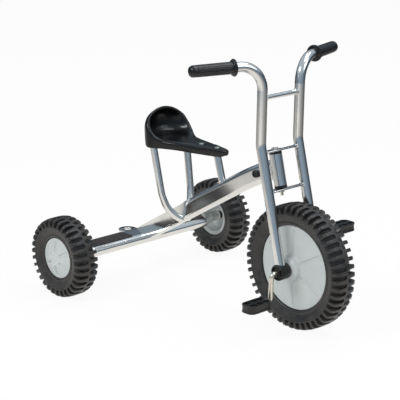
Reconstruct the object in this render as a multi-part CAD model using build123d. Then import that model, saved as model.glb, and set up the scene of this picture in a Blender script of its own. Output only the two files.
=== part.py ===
"""Children's front-wheel-drive tricycle, modelled piece by piece.

Millimetres throughout.  +X points forward, +Y to the rider's left and +Z up.
The origin lies on the ground below the middle of the tricycle's length.
"""
import os
from math import cos, degrees, pi, radians, sin, tan

from build123d import *

os.makedirs("parts", exist_ok=True)

# ---------------------------------------------------------------- sizes
# Running gear
WHEELBASE = 583.0
REAR_TRACK = 552.0
FRONT_TYRE_R = 157.5
REAR_TYRE_R = 106.0
FRONT_RIM_R = 106.0
REAR_RIM_R = 53.5
TYRE_W = 68.0
FRONT_RIM_W = 37.0
REAR_RIM_W = 44.0
RIM_SEAT_T = 5.0
RIM_WALL = 4.0
RIM_LIP = 1.5
FRONT_HUB_R = 20.0
REAR_HUB_R = 16.0
REAR_HUB_IN = 9.0
REAR_HUB_OUT = 27.0
RIBS = 6
RIB_W = 7.5
RIB_H = 2.5
LUG_H = 6.0
TREAD_FLAT_W = 44.0
TREAD_BAND_W = 14.0
SIDEWALL_DROP = 12.0
POCKET_RUN_OUT = 5.0
FRONT_LUGS = 48
REAR_LUGS = 32

# Steering
RAKE = 13.5
FORK_OFFSET = 20.5
FORK_TUBE_R = 12.5
FORK_HALF_SPACING = 64.3
FORK_BEND_Z = 457.0
FORK_UPPER_LEAN = 1.5
GRIP_Z = 655.0
GRIP_SWEEP = 17.5
BAR_BEND_R = 60.0
GRIP_START_Y = 136.0
GRIP_LEN = 117.0
GRIP_R = 15.0
GRIP_FLANGE_R = 21.0
GRIP_FLANGE_T = 6.0
GRIP_END_T = 8.0
HOUSING_R = 20.0
HOUSING_LEN = 30.0
HEAD_TUBE_R = 15.75
HEAD_TUBE_LEN = 78.0
HEAD_OVER_AXLE = 281.0
BUSH_FLANGE_T = 7.0
BUSH_SPIGOT_R = 13.0
BUSH_SPIGOT_LEN = 14.0
KING_BOLT_R = 5.0
KING_HEAD_R = 8.5
KING_HEAD_T = 4.5
KING_NUT_T = 6.0
KING_END_LEN = 8.0
PLATE_T = 4.0
PLATE_BACK = 3.0
PLATE_FRONT = 26.5
PLATE_LOBE_R = 20.0
UPPER_BAR_R = 6.0
UPPER_BAR_Z = 574.0

# Cranks and pedals
CRANK_R = 6.0
CRANK_LEN = 69.0
CRANK_ANGLE = 3.0
CRANK_ARM_OUT = 17.7
CRANK_BEND_R = 10.0
PEDAL_OFF_ARM = 11.0
PEDAL_LEN = 73.0
PEDAL_W = 43.0
PEDAL_T = 20.0
PEDAL_CORNER_R = 15.0

# Frame
BEAM_H = 50.0
BEAM_T = 25.0
BEAM_SLOPE = 30.0
BEAM_OVER_AXLE = 5.2
BEAM_STRAIGHT = 435.0
BEAM_BEND_R = 850.0
WEB_T = 9.0
WEB_DROP = 3.0
LEDGE_H = 5.0
AXLE_W = 74.0
AXLE_H = 28.0
AXLE_END_R = 13.5
AXLE_END_IN = 6.0
AXLE_STUB = 25.0
AXLE_TAPER = 45.0
COLLAR_T = 4.0
SPACER_R = 11.5
SPINDLE_R = 6.0
POST_R = 9.5
PAD_T = 2.0
PAD_START_Y = 60.0
TAB_W = 50.0
TAB_T = 5.0
TAB_REACH = 38.0
TAB_HOLE_R = 10.0
BUFFER_R = 10.0
BUFFER_T = 9.0
BUFFER_ALONG = 514.0
BUFFER_UP = -1.3

# Seat, measured from its own zero on its underside
SEAT_OVER_AXLE = 275.0
SEAT_AHEAD_OF_AXLE = 317.25
SEAT_RIM_H = 23.0
SEAT_TOP_H = 109.0
SEAT_NOSE_X = 12.0
SEAT_TAIL_X = -263.0
SEAT_FLARE = 14.0
SEAT_TAIL_FLARE = 8.0
SEAT_TAIL_LEAN = 8.0
SEAT_ARCH_H = 44.0
SEAT_ARCH_RISE = 60.0
SEAT_ARCH_BACK_X = -221.0
SEAT_ARCH_TAPER = 0.6
SEAT_HALF_W = 72.0
SEAT_EDGE_R = 8.0
SEAT_WALL = 3.5
BOWL_X = -191.0
BOWL_HALF_L = 60.0
BOWL_HALF_W = 63.0
BOWL_RIM_W = 9.0
BOWL_ROUND_R = 24.0
BOWL_FLOOR_UP = 0.3
POST_TOP_X = -207.0
POST_TOP_Y = 58.0
POST_BENDS = ((-34.5, 51.0, 69.5), (-21.5, 38.0, 18.5))
POST_BEND_R = 90.0
POST_FOOT_BACK = 135.25
POST_FOOT_UP = -18.0
POST_FOOT_Y = 8.0
FRONT_POST_TOP_X = -26.0
FRONT_POST_AHEAD = 50.75
BRACKET_T = 4.0
BRACKET_UP = 2.0
SEAT_BOLT_R = 4.0
SEAT_BOLT_HEAD_R = 7.0
SEAT_BOLT_HEAD_T = 2.0
SEAT_BOLT_X = (-86.0, -27.5)

# Clearances
RUN = 0.05
GAP = 0.3
SIDE_PLAY = 1.0
HUB_PLAY = 3.3

# ---------------------------------------------------------------- places
FRONT_X = (WHEELBASE + REAR_TYRE_R - FRONT_TYRE_R) / 2
REAR_X = FRONT_X - WHEELBASE
FRONT_HUB_END_Y = FORK_HALF_SPACING - HOUSING_LEN / 2 - HUB_PLAY
CRANK_ARM_Y = FORK_HALF_SPACING + HOUSING_LEN / 2 + CRANK_ARM_OUT
PEDAL_IN_Y = CRANK_ARM_Y + PEDAL_OFF_ARM
AXLE_END_Y = REAR_TRACK / 2 - AXLE_END_IN
AXLE_NECK_Y = AXLE_END_Y - AXLE_STUB
AXLE_FLAT_Y = AXLE_NECK_Y - AXLE_TAPER
FRONT_HUB = Vector(FRONT_X, 0, FRONT_TYRE_R)
SEAT_ZERO = Vector(REAR_X + SEAT_AHEAD_OF_AXLE, 0, REAR_TYRE_R + SEAT_OVER_AXLE)
SIDES = {"right": -1, "left": 1}
RAKE_TAN = tan(radians(RAKE))
HEAD_MID_Z = REAR_TYRE_R + HEAD_OVER_AXLE
HEAD_AXIS_DIR = Vector(-sin(radians(RAKE)), 0, cos(radians(RAKE)))


def head_axis_at(z):
    """Point of the steering axis at height z."""
    x_at_hub = FRONT_X - FORK_OFFSET / cos(radians(RAKE))
    return Vector(x_at_hub - (z - FRONT_TYRE_R) * RAKE_TAN, 0, z)


HEAD_PLANE = Plane(
    origin=head_axis_at(HEAD_MID_Z),
    x_dir=Vector(cos(radians(RAKE)), 0, sin(radians(RAKE))),
    z_dir=HEAD_AXIS_DIR,
)
BEAM_DIR = Vector(cos(radians(BEAM_SLOPE)), 0, sin(radians(BEAM_SLOPE)))
BEAM_START = Vector(REAR_X, 0, REAR_TYRE_R + BEAM_OVER_AXLE)
BEAM_PLANE = Plane(origin=BEAM_START, x_dir=BEAM_DIR, z_dir=Vector(0, -1, 0))


def beam_point(along, up=0.0, y=0.0):
    """Point in the beam's own directions: along it, square up from it, and sideways."""
    up_dir = Vector(-BEAM_DIR.Z, 0, BEAM_DIR.X)
    return BEAM_START + BEAM_DIR * along + up_dir * up + Vector(0, y, 0)


def lying_tube(radius, start, end):
    """Round bar between two points."""
    axis = end - start
    plane = Plane(origin=start, z_dir=axis)
    return extrude(plane * Circle(radius), amount=axis.length)


def bent_tube(points, radius, bends):
    """Round tube along a path with rounded corners."""
    path = FilletPolyline(*points, radius=bends)
    section = Plane(origin=path @ 0, z_dir=path % 0) * Circle(radius)
    return sweep(section, path=path)


def save(shape, name):
    """Write one node."""
    export_step(Compound(children=list(shape.solids())) if len(shape.solids()) > 1 else shape.solids()[0],
                f"parts/{name}.step")


# ---------------------------------------------------------------- wheels
def rim_bed(tyre_r, rim_r, rim_w):
    """Radius and half width of the bed that tyre and wheel share; both flanks lean alike."""
    lean = (TYRE_W - rim_w) / 2 / (tyre_r - SIDEWALL_DROP - rim_r)
    return rim_r - RIM_SEAT_T, rim_w / 2 - lean * RIM_SEAT_T


def tyre(outer_r, rim_r, rim_w, lugs):
    """Tyre about the Z axis: a smooth middle band, with pockets that leave staggered lugs beside it."""
    half = TYRE_W / 2
    side_r = outer_r - SIDEWALL_DROP
    bed_r, bed_half = rim_bed(outer_r, rim_r, rim_w)
    sides = 2 * lugs
    section = Polyline(
        (bed_r, -bed_half), (side_r, -half), (outer_r, -TREAD_FLAT_W / 2), (outer_r, TREAD_FLAT_W / 2),
        (side_r, half), (bed_r, bed_half), close=True)
    ring = (Rot(Z=180 / sides) * RegularPolygon(bed_r, sides, major_radius=False)).face().outer_wire()
    casing = sweep(Plane.XZ * make_face(section), path=ring, transition=Transition.RIGHT)
    band = TREAD_BAND_W / 2
    past_r = outer_r + 3
    profile = Polyline(
        (outer_r - LUG_H, band), (side_r - POCKET_RUN_OUT, half), (past_r, half), (past_r, band), close=True)
    pocket = extrude(Plane.XZ * make_face(profile), amount=half, both=True)
    for turn in (-1, 1):
        flank = Plane(origin=(0, 0, 0), x_dir=(0, 0, 1), z_dir=(sin(pi / sides), turn * cos(pi / sides), 0))
        pocket = split(pocket, bisect_by=flank, keep=Keep.TOP)
    pockets = []
    for n in range(lugs):
        pockets.append(Rot(Z=n * 360 / lugs) * pocket)
        pockets.append(Rot(Z=(n + 0.5) * 360 / lugs) * mirror(pocket, Plane.XY))
    return casing - pockets


def radial_ribs(face_line, inner_r, outer_r):
    """Pressed ribs that stand up from a wheel face; face_line gives its height at a radius."""
    outline = Polyline(
        (inner_r, face_line(inner_r) - 2), (inner_r + 3, face_line(inner_r + 3) + RIB_H),
        (outer_r - 4, face_line(outer_r - 4) + RIB_H), (outer_r, face_line(outer_r) - 2), close=True)
    rib = extrude(Plane.XZ * make_face(outline), amount=RIB_W / 2, both=True)
    return [Rot(Z=(n + 0.5) * 360 / RIBS) * rib for n in range(RIBS)]


def front_wheel_disc():
    """Two-faced front wheel with a bed for the tyre, domed hubs and ribs on both faces."""
    seat = FRONT_RIM_W / 2
    rim = FRONT_RIM_R
    bed, bed_half = rim_bed(FRONT_TYRE_R, FRONT_RIM_R, FRONT_RIM_W)
    dome_r = FRONT_HUB_R + 14
    half = [
        (bed, 0), (bed, bed_half), (rim, seat), (rim - RIM_LIP, seat + RIM_LIP), (rim - 6, seat - 0.5),
        (dome_r, seat + 4), (FRONT_HUB_R + 4, seat + 13), (FRONT_HUB_R, FRONT_HUB_END_Y),
        (CRANK_R, FRONT_HUB_END_Y)]
    outline = half + [(r, -u) for r, u in reversed(half[1:])]
    disc = revolve(Plane.XZ * make_face(Polyline(*outline, close=True)), axis=Axis.Z)

    def face_line(r):
        slope = 4.5 / (rim - 6 - dome_r)
        return seat - 0.5 + slope * (rim - 6 - r)

    ribs = radial_ribs(face_line, dome_r - 3, rim - 6)
    ribs += [mirror(rib, Plane.XY) for rib in ribs]
    return disc + ribs


def rear_wheel_disc():
    """Deep rear wheel: open bowl inboard, ribbed and domed face outboard (+Z here)."""
    seat = REAR_RIM_W / 2
    rim = REAR_RIM_R
    bed, bed_half = rim_bed(REAR_TYRE_R, REAR_RIM_R, REAR_RIM_W)
    barrel = bed - RIM_WALL
    bore = SPINDLE_R + RUN
    outline = [
        (bed, -bed_half), (rim, -seat), (rim - RIM_LIP, -seat - RIM_LIP), (barrel, 2 - seat),
        (barrel, 12), (REAR_HUB_R + 2, 15), (REAR_HUB_R, REAR_HUB_IN), (bore, REAR_HUB_IN),
        (bore, REAR_HUB_OUT - 5), (0, REAR_HUB_OUT - 5), (0, REAR_HUB_OUT), (12, REAR_HUB_OUT - 1.5),
        (REAR_HUB_R + 4, seat - 0.5), (rim - 5, seat - 1), (rim - RIM_LIP, seat + RIM_LIP), (rim, seat),
        (bed, bed_half)]
    disc = revolve(Plane.XZ * make_face(Polyline(*outline, close=True)), axis=Axis.Z)
    return disc + radial_ribs(lambda r: seat - 1, REAR_HUB_R + 2, rim - 5.5)


def on_hub(shape, side, x, z, y=0.0):
    """Turn a wheel piece made about Z so that it faces outboard on its side."""
    return Pos(x, side * y, z) * Rot(X=-90 * side) * shape


front_tyre = on_hub(tyre(FRONT_TYRE_R, FRONT_RIM_R, FRONT_RIM_W, FRONT_LUGS), 1, FRONT_X, FRONT_TYRE_R)
save(front_tyre, "front_tyre")
front_wheel = on_hub(front_wheel_disc(), 1, FRONT_X, FRONT_TYRE_R)

rear_tyre_shape = tyre(REAR_TYRE_R, REAR_RIM_R, REAR_RIM_W, REAR_LUGS)
rear_disc_shape = rear_wheel_disc()
for name, side in SIDES.items():
    save(on_hub(rear_tyre_shape, side, REAR_X, REAR_TYRE_R, REAR_TRACK / 2), f"rear_tyre_{name}")
    save(on_hub(rear_disc_shape, side, REAR_X, REAR_TYRE_R, REAR_TRACK / 2), f"rear_wheel_{name}")

# ---------------------------------------------------------------- crank and pedals
swing = radians(CRANK_ANGLE)
pin_x = -CRANK_LEN * sin(swing)
pin_z = -CRANK_LEN * cos(swing)
pin_end_y = PEDAL_IN_Y + PEDAL_LEN - GRIP_END_T
crank_path = [
    Vector(pin_x, -pin_end_y, pin_z), Vector(pin_x, -CRANK_ARM_Y, pin_z), Vector(0, -CRANK_ARM_Y, 0),
    Vector(0, CRANK_ARM_Y, 0), Vector(-pin_x, CRANK_ARM_Y, -pin_z), Vector(-pin_x, pin_end_y, -pin_z)]
crank_axle = Pos(*FRONT_HUB) * bent_tube(crank_path, CRANK_R, CRANK_BEND_R)
front_wheel -= crank_axle
save(front_wheel, "front_wheel")
save(crank_axle, "crank_axle")


def pedal():
    """Block pedal about the Y axis, from its inner end outwards along +Y."""
    block = extrude(RectangleRounded(PEDAL_W, PEDAL_LEN, PEDAL_CORNER_R), amount=PEDAL_T / 2, both=True)
    block = Pos(0, PEDAL_LEN / 2, 0) * block
    pocket = Box(PEDAL_W / 2 - 11, PEDAL_LEN / 3 - 8, 7)
    for sx in (-1, 1):
        for row in range(3):
            for sz in (-1, 1):
                y = PEDAL_LEN / 2 + (row - 1) * (PEDAL_LEN / 3 - 4)
                block -= Pos(sx * (PEDAL_W / 4 - 1), y, sz * (PEDAL_T / 2)) * pocket
    pin_len = pin_end_y - PEDAL_IN_Y + 1
    bore = Pos(0, pin_len / 2 - 0.5, 0) * Rot(X=90) * Cylinder(CRANK_R + RUN, pin_len + 1)
    return block - bore


pedal_shape = pedal()
for name, side in SIDES.items():
    pin = FRONT_HUB + Vector(side * -pin_x, side * PEDAL_IN_Y, side * -pin_z)
    turned = pedal_shape if side > 0 else Rot(Z=180) * pedal_shape
    save(Pos(*pin) * turned, f"pedal_{name}")

# ---------------------------------------------------------------- fork and handlebar
housings = {}
for name, side in SIDES.items():
    y = side * FORK_HALF_SPACING
    bend_x = FRONT_X - (FORK_BEND_Z - FRONT_TYRE_R) * RAKE_TAN
    corner_x = bend_x + (GRIP_Z - FORK_BEND_Z) * tan(radians(FORK_UPPER_LEAN))
    sweep_back = tan(radians(GRIP_SWEEP))
    corner = Vector(corner_x, y, GRIP_Z)

    def grip_point(at_y):
        return Vector(corner_x - (at_y - FORK_HALF_SPACING) * sweep_back, side * at_y, GRIP_Z)

    grip_dir = Vector(-sweep_back, side, 0).normalized()
    grip_start = grip_point(GRIP_START_Y)
    tube_end = grip_start + grip_dir * (GRIP_LEN - GRIP_END_T)
    hub_point = FRONT_HUB + Vector(0, y, 0)
    foot = hub_point + HEAD_AXIS_DIR * (HOUSING_R - 6)
    tube = bent_tube([foot, Vector(bend_x, y, FORK_BEND_Z), corner, tube_end], FORK_TUBE_R, BAR_BEND_R)
    housing = Pos(*hub_point) * Rot(X=90) * (
        Cylinder(HOUSING_R, HOUSING_LEN) - Cylinder(CRANK_R + RUN, HOUSING_LEN + 2))
    housing = chamfer(housing.edges().filter_by(GeomType.CIRCLE).group_by(SortBy.RADIUS)[-1], 1.5)
    tube -= Pos(*hub_point) * Rot(X=90) * Cylinder(HOUSING_R, HOUSING_LEN)
    housings[name] = tube
    save(tube, f"handlebar_{name}")
    save(housing, f"axle_housing_{name}")
    grip_plane = Plane(origin=grip_start, z_dir=grip_dir)
    grip_profile = Polyline(
        (FORK_TUBE_R, 0), (GRIP_FLANGE_R - 1, 0), (GRIP_FLANGE_R, GRIP_FLANGE_T / 2),
        (GRIP_FLANGE_R - 1, GRIP_FLANGE_T), (GRIP_R, GRIP_FLANGE_T + 2), (GRIP_R - 0.5, GRIP_LEN - 7),
        (GRIP_R - 3, GRIP_LEN - 2), (GRIP_R - 8, GRIP_LEN), (0, GRIP_LEN),
        (0, GRIP_LEN - GRIP_END_T), (FORK_TUBE_R, GRIP_LEN - GRIP_END_T), close=True)
    grip = revolve(Plane.XZ * make_face(grip_profile), axis=Axis.Z)
    save(grip_plane * grip, f"grip_{name}")

between = FORK_HALF_SPACING
upper_x = bend_x + (UPPER_BAR_Z - FORK_BEND_Z) * tan(radians(FORK_UPPER_LEAN))
upper_bar = Pos(upper_x, 0, UPPER_BAR_Z) * Rot(X=90) * Cylinder(UPPER_BAR_R, 2 * between)
for tube in housings.values():
    upper_bar -= tube
save(upper_bar, "upper_cross_bar")

bush_end = HEAD_TUBE_LEN / 2 + BUSH_FLANGE_T
for name, turn in (("middle", 1), ("lower", -1)):
    mid = turn * (bush_end + GAP + PLATE_T / 2)
    strip = Pos((PLATE_BACK + PLATE_FRONT) / 2, 0, mid) * Box(PLATE_FRONT - PLATE_BACK, 2 * between, PLATE_T)
    plate = strip + Pos(0, 0, mid) * Cylinder(PLATE_LOBE_R, PLATE_T)
    plate -= Cylinder(KING_BOLT_R, 4 * bush_end)
    plate = HEAD_PLANE * plate
    for tube in housings.values():
        plate -= tube
    save(plate, f"{name}_cross_plate")

plate_out = bush_end + GAP + PLATE_T
nut_out = plate_out + KING_NUT_T
shank_end = nut_out + KING_END_LEN
king_bolt = extrude(Pos(0, 0, -nut_out) * Circle(KING_BOLT_R), amount=plate_out + nut_out)
king_bolt += extrude(Pos(0, 0, -shank_end) * Circle(KING_BOLT_R - 1), amount=KING_END_LEN)
king_bolt += extrude(Pos(0, 0, plate_out) * RegularPolygon(KING_HEAD_R, 6), amount=KING_HEAD_T)
king_bolt += extrude(Pos(0, 0, -nut_out) * RegularPolygon(KING_HEAD_R - 1, 6), amount=KING_NUT_T)
save(HEAD_PLANE * king_bolt, "king_bolt")

# ---------------------------------------------------------------- head tube and bushes
head_tube = HEAD_PLANE * (Cylinder(HEAD_TUBE_R, HEAD_TUBE_LEN) - Cylinder(BUSH_SPIGOT_R, HEAD_TUBE_LEN + 2))
head_outer = HEAD_PLANE * Cylinder(HEAD_TUBE_R, HEAD_TUBE_LEN)
bush = (
    Pos(0, 0, HEAD_TUBE_LEN / 2 + BUSH_FLANGE_T / 2) * Cylinder(HEAD_TUBE_R, BUSH_FLANGE_T)
    + Pos(0, 0, HEAD_TUBE_LEN / 2 - BUSH_SPIGOT_LEN / 2) * Cylinder(BUSH_SPIGOT_R, BUSH_SPIGOT_LEN)
    - Cylinder(KING_BOLT_R + RUN, HEAD_TUBE_LEN + 40))
save(head_tube, "head_tube")
save(HEAD_PLANE * Compound(children=[bush.solid(), mirror(bush, Plane.XY).solid()]), "head_bushes")

# ---------------------------------------------------------------- beam and axle
head_along = (HEAD_PLANE.origin - BEAM_START).dot(BEAM_DIR)
foot_along = SEAT_AHEAD_OF_AXLE - POST_FOOT_BACK
bend_len = head_along + 10 - BEAM_STRAIGHT
beam_line = Line((-60, 0), (BEAM_STRAIGHT, 0))
beam_line += JernArc((BEAM_STRAIGHT, 0), (1, 0), BEAM_BEND_R, -degrees(bend_len / BEAM_BEND_R))
beam_line = BEAM_PLANE * beam_line
beam_section = Plane(origin=beam_line @ 0, x_dir=Vector(0, 1, 0), z_dir=BEAM_DIR)
beam = sweep(beam_section * Rot(Z=90) * SlotOverall(BEAM_H, BEAM_T), path=beam_line)
ledge = LEDGE_H - BEAM_H / 2
recess_outline = Polyline(
    (-80, BEAM_H), (-80, ledge), (foot_along - 8, ledge), (foot_along - 3, ledge + 6), (foot_along + 18, 3),
    (foot_along + 39, 11), (foot_along + 58, 16), (foot_along + 70, BEAM_H), close=True)
recess = extrude(BEAM_PLANE * make_face(recess_outline), amount=BEAM_T / 2 + 1)
recess -= extrude(BEAM_PLANE * make_face(recess_outline), amount=WEB_T / 2)
beam -= recess
beam -= mirror(recess, Plane.XZ)
web_top = BEAM_H / 2 - WEB_DROP
past_top = BEAM_H / 2 + 1
web_outline = Polyline(
    (-80, web_top), (foot_along + 8, web_top), (foot_along + 44, past_top), (-80, past_top), close=True)
beam -= extrude(BEAM_PLANE * make_face(web_outline), amount=BEAM_T, both=True)

half_axle = extrude(Plane.XZ * SlotOverall(AXLE_W, AXLE_H), amount=-AXLE_FLAT_Y)
neck = loft([
    Plane(origin=(0, AXLE_FLAT_Y, 0), x_dir=(1, 0, 0), z_dir=(0, 1, 0)) * SlotOverall(AXLE_W, AXLE_H),
    Plane(origin=(0, AXLE_NECK_Y, 0), x_dir=(1, 0, 0), z_dir=(0, 1, 0)) * SlotOverall(
        2 * AXLE_END_R + 0.4, 2 * AXLE_END_R)], ruled=True)
stub = Pos(0, (AXLE_NECK_Y + AXLE_END_Y) / 2, 0) * Rot(X=90) * Cylinder(AXLE_END_R, AXLE_END_Y - AXLE_NECK_Y)
hub_face_y = REAR_TRACK / 2 + REAR_HUB_IN
spindle_end = REAR_TRACK / 2 + REAR_HUB_OUT - 5 - SIDE_PLAY
spindle_len = spindle_end - AXLE_END_Y
spindle = Pos(0, AXLE_END_Y + spindle_len / 2, 0) * Rot(X=90) * Cylinder(SPINDLE_R, spindle_len)
half_axle = half_axle + neck + stub + spindle
axle = Pos(REAR_X, 0, REAR_TYRE_R) * (half_axle + mirror(half_axle, Plane.XZ))
below = Pos(REAR_X, 0, REAR_TYRE_R) * extrude(
    Plane.XZ * SlotOverall(AXLE_W, AXLE_H), amount=AXLE_FLAT_Y, both=True)
under_axle = Box(200, 100, 200, align=(Align.MAX, Align.CENTER, Align.MAX))
beam -= Pos(REAR_X + AXLE_W / 2 + 6, 0, REAR_TYRE_R) * under_axle
beam -= Pos(REAR_X + AXLE_W / 2 - AXLE_H / 2, 0, REAR_TYRE_R + AXLE_H / 2) * under_axle
beam -= below
beam -= head_outer
beam = max(beam.solids(), key=lambda piece: piece.volume)
save(beam, "main_beam")
save(axle, "rear_axle")

collar_parts, spacer_parts = [], []
for side in (-1, 1):
    collar_end = AXLE_END_Y + COLLAR_T
    ring = Cylinder(AXLE_END_R + 1, COLLAR_T) - Cylinder(SPINDLE_R, COLLAR_T + 2)
    collar_y = side * (AXLE_END_Y + COLLAR_T / 2)
    collar_parts.append((Pos(REAR_X, collar_y, REAR_TYRE_R) * Rot(X=90) * ring).solid())
    length = hub_face_y - GAP - collar_end
    ring = Cylinder(SPACER_R, length) - Cylinder(SPINDLE_R, length + 2)
    spacer_y = side * (collar_end + length / 2)
    spacer_parts.append((Pos(REAR_X, spacer_y, REAR_TYRE_R) * Rot(X=90) * ring).solid())
save(Compound(children=collar_parts), "axle_collars")
save(Compound(children=spacer_parts), "hub_spacers")

tab_centre = Vector(REAR_X - AXLE_W / 2 - TAB_REACH + 2, 0, REAR_TYRE_R - 2)
tab = Pos(*tab_centre) * (
    Cylinder(TAB_W / 2, TAB_T) + Pos(TAB_REACH / 2, 0, 0) * Box(TAB_REACH, TAB_W, TAB_T)
    - Cylinder(TAB_HOLE_R, TAB_T + 2))
tab -= below
tab -= beam
save(max(tab.solids(), key=lambda piece: piece.volume), "tow_tab")

pad_parts = []
for side in (-1, 1):
    pad_len = AXLE_FLAT_Y - PAD_START_Y
    pad = extrude(RectangleRounded(AXLE_W - AXLE_H + 4, pad_len, 8), amount=PAD_T)
    pad_y = side * (PAD_START_Y + pad_len / 2)
    pad_parts.append((Pos(REAR_X, pad_y, REAR_TYRE_R + AXLE_H / 2) * pad - axle).solid())
save(Compound(children=pad_parts), "step_pads")

buffer_parts = []
buffer_at = beam_point(BUFFER_ALONG, BUFFER_UP)
for side in (-1, 1):
    puck_y = side * (BEAM_T / 2 + BUFFER_T / 2)
    puck = Pos(buffer_at.X, puck_y, buffer_at.Z) * Rot(X=90) * Cylinder(BUFFER_R, BUFFER_T)
    buffer_parts.append(puck.solid())
save(Compound(children=buffer_parts), "steering_buffers")

# ---------------------------------------------------------------- seat and its posts
post_top_z = SEAT_ZERO.Z + BRACKET_UP
above_posts = Pos(0, 0, post_top_z) * Box(
    2 * WHEELBASE, REAR_TRACK, SEAT_TOP_H, align=(Align.CENTER, Align.CENTER, Align.MIN))


def level_post(shape):
    """Trim a post to the beam below and level with the bracket's underside above."""
    shape = shape - above_posts - beam
    return max(shape.solids(), key=lambda piece: piece.volume)


for name, side in SIDES.items():
    top = SEAT_ZERO + Vector(POST_TOP_X, side * POST_TOP_Y, BRACKET_UP)
    foot = beam_point(foot_along, POST_FOOT_UP, side * POST_FOOT_Y)
    bends = [Vector(foot.X + dx, side * y, foot.Z + dz) for dx, y, dz in POST_BENDS]
    past_top = top + (top - bends[0]).normalized() * 8
    save(level_post(bent_tube([past_top, *bends, foot], POST_R, POST_BEND_R)), f"seat_post_{name}")
front_top = SEAT_ZERO + Vector(FRONT_POST_TOP_X, 0, BRACKET_UP)
front_foot = beam_point(SEAT_AHEAD_OF_AXLE + FRONT_POST_AHEAD, 10)
past_top = front_top + (front_top - front_foot).normalized() * 8
save(level_post(lying_tube(POST_R, front_foot, past_top)), "seat_post_front")


def seat_outline(nose, tail, widen):
    """Plan of the seat: broad behind, waisted, long-nosed; it may widen, but not at its broadest place."""
    plan = [
        (2, 7.5), (-13, 11.5), (-35, 17), (-87, 30), (-132, 39), (-160, 49), (-188, 62.5),
        (-208, SEAT_HALF_W - 0.3), (-230, 65.5), (-250, 44)]
    if widen:
        plan = [(x, w + (SEAT_FLARE if x > -200 else SEAT_TAIL_FLARE if x < -220 else 0)) for x, w in plan]
    pts = [(nose, 0)] + plan + [(tail, 0)] + [(x, -w) for x, w in reversed(plan)]
    return make_face(Spline(*pts, periodic=True))


def seat_arch(x, inset):
    """Front view of the back's limit at one place of its length: straight sides under a low arch."""
    half_w = SEAT_HALF_W - inset
    arch = Pos(0, SEAT_ARCH_H) * Ellipse(half_w, SEAT_ARCH_RISE - inset)
    arch += Pos(0, SEAT_ARCH_H - 50) * Rectangle(2 * half_w, 100)
    return Plane(origin=(x, 0, 0), x_dir=(0, 1, 0), z_dir=(1, 0, 0)) * arch


def seat_room(inset):
    """The room below the arch of the back's top edge, which falls away behind."""
    behind = 40
    room = extrude(seat_arch(SEAT_ARCH_BACK_X, inset), amount=2 * SEAT_AHEAD_OF_AXLE)
    taper = seat_arch(SEAT_ARCH_BACK_X - behind, inset + behind * SEAT_ARCH_TAPER)
    return room + loft([seat_arch(SEAT_ARCH_BACK_X, inset), taper], ruled=True)


def seat_bowl(swell):
    """Hollow of the seat's back, wider by swell: oval in plan, round at its floor, arched above."""
    floor = SEAT_RIM_H + BOWL_FLOOR_UP - swell
    plan = Pos(BOWL_X, 0, floor) * Ellipse(BOWL_HALF_L + swell, BOWL_HALF_W + swell)
    bowl = extrude(plan, amount=2 * SEAT_TOP_H)
    bowl = fillet(bowl.edges().sort_by(Axis.Z)[0], BOWL_ROUND_R + swell)
    return bowl & seat_room(BOWL_RIM_W - swell)


def seat_form(inset=0.0, below=0.0):
    """The seat's solid form, with every outer surface moved in by inset."""
    base = seat_outline(SEAT_NOSE_X - 1, SEAT_TAIL_X, False)
    top = seat_outline(SEAT_NOSE_X + SEAT_FLARE - 1, SEAT_TAIL_X + SEAT_TAIL_LEAN, True)
    if inset:
        base = offset(base, -inset)
        top = offset(top, -inset)
    form = loft([Pos(0, 0, -below) * base, Pos(0, 0, SEAT_TOP_H) * top], ruled=True)
    form &= seat_room(inset)
    rise = Spline(
        (-140, SEAT_RIM_H), (-162, SEAT_RIM_H + 0.3), (-177, SEAT_RIM_H + 3), (-191, SEAT_RIM_H + 9.5),
        (-204.5, SEAT_RIM_H + 22), (-216, SEAT_RIM_H + 37.5), (-226, SEAT_RIM_H + 59), (-234, SEAT_TOP_H),
        tangents=[(-1, 0), (-0.25, 1)])
    past_top = SEAT_TOP_H + 30
    above = make_face(rise + Polyline(
        (-140, SEAT_RIM_H), (40, SEAT_RIM_H), (40, past_top), (-234, past_top), (-234, SEAT_TOP_H)))
    form -= Pos(-inset, 0, -inset) * extrude(Plane.XZ * above, amount=100, both=True)
    if not inset:
        back_edge = form.edges().filter_by(lambda edge: abs(edge.center().Y) < 5).sort_by(Axis.Z)[-1]
        form = fillet(back_edge, SEAT_EDGE_R)
    return form - seat_bowl(inset)


seat = seat_form()
nose_lift = Polyline((-25, 0), (-2, 2), (12, 8), (30, 8), (30, -9), (-25, -9), close=True)
seat -= extrude(Plane.XZ * make_face(nose_lift), amount=60, both=True)
seat -= seat_form(SEAT_WALL, 6)
bracket_top = BRACKET_UP + BRACKET_T
for x in SEAT_BOLT_X:
    boss_len = SEAT_RIM_H - SEAT_WALL - bracket_top
    seat += Pos(x, 0, bracket_top) * Cylinder(
        SEAT_BOLT_HEAD_R + 2, boss_len + 1, align=(Align.CENTER, Align.CENTER, Align.MIN))
bracket = Pos(0, 0, BRACKET_UP) * extrude(
    make_face(Polyline(
        (FRONT_POST_TOP_X + 14, -7), (FRONT_POST_TOP_X + 14, 7), (-130, 22), (POST_TOP_X + 14, POST_TOP_Y + 2),
        (POST_TOP_X - 14, POST_TOP_Y), (POST_TOP_X - 14, -POST_TOP_Y), (POST_TOP_X + 14, -POST_TOP_Y - 2),
        (-130, -22), close=True)), amount=BRACKET_T)
for x in SEAT_BOLT_X:
    hole = Pos(x, 0, SEAT_RIM_H) * Cylinder(SEAT_BOLT_R, 2 * SEAT_TOP_H)
    seat -= hole
    bracket -= hole
save(Pos(*SEAT_ZERO) * max(seat.solids(), key=lambda piece: piece.volume), "seat")
save(Pos(*SEAT_ZERO) * bracket, "seat_bracket")
bolt_parts = []
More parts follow.
